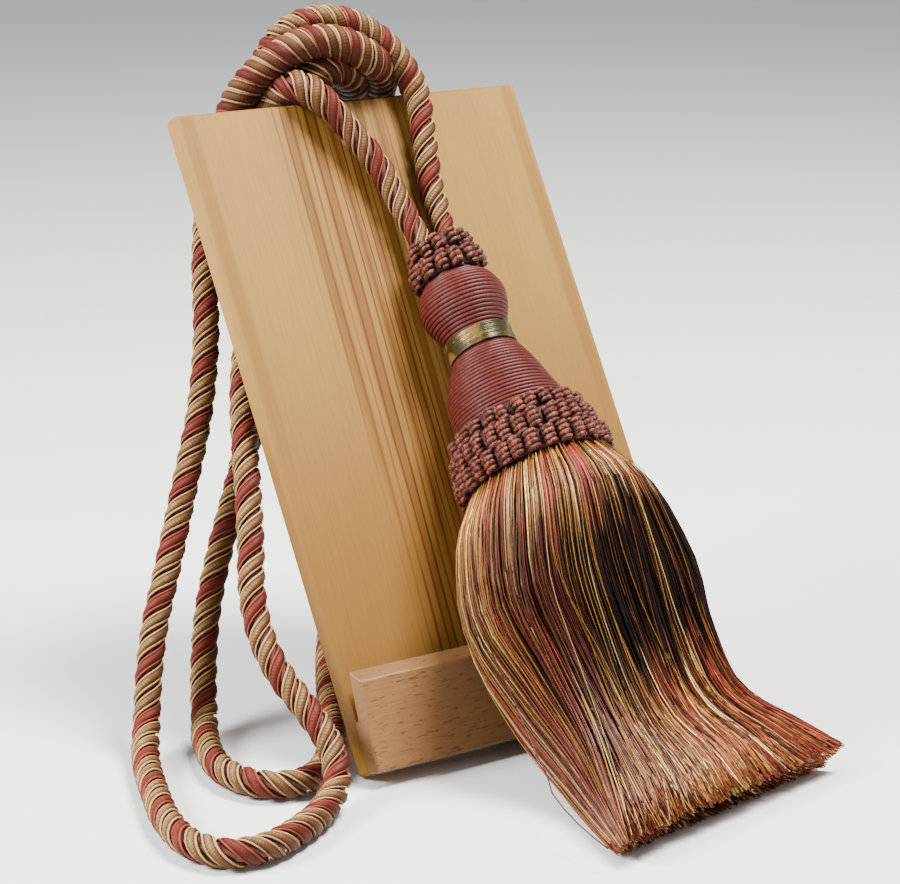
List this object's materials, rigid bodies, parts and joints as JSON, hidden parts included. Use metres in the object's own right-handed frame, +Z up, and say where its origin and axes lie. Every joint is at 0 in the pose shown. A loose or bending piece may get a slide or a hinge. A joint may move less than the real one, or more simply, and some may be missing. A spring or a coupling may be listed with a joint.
{
  "type": "curtain tieback tassel on display stand",
  "caption": "Twisted rope tieback with a cord-wound head, looped ruffs and a long mixed-colour fringe, hung over a plain leaning wooden board stand.",
  "frame": {"origin": "middle of the stand foot's flat underside, on the table top", "axes": "+Z up; the board's face looks to -Y and leans back to +Y; +X to the right seen from the front, the rope's loops fall to -X"},
  "size_m": [0.2832, 0.3205, 0.2981],
  "materials": {
    "pine": "oiled, fine grain",
    "rope": "twisted viscose cord, one coral ply and two gold-beige plies",
    "wound_cord": "fine rust cord wound in rings",
    "gold_thread": "shiny wound gold thread",
    "looped_cord": "mottled looped cord",
    "fringe": "lustrous yarn in gold-cream, coral and dark brown groups"
  },
  "bodies": {
    "root": {"stand_board": "pine", "stand_ledge": "pine", "stand_foot": "pine", "tie_rope": "rope", "top_ruff_upper": "looped_cord", "top_ruff_lower": "looped_cord", "head_mould": "wound_cord", "waist_band": "gold_thread", "ruff_row_1": "looped_cord", "ruff_row_2": "looped_cord", "ruff_row_3": "looped_cord", "fringe": "fringe"}
  },
  "joints": []
}
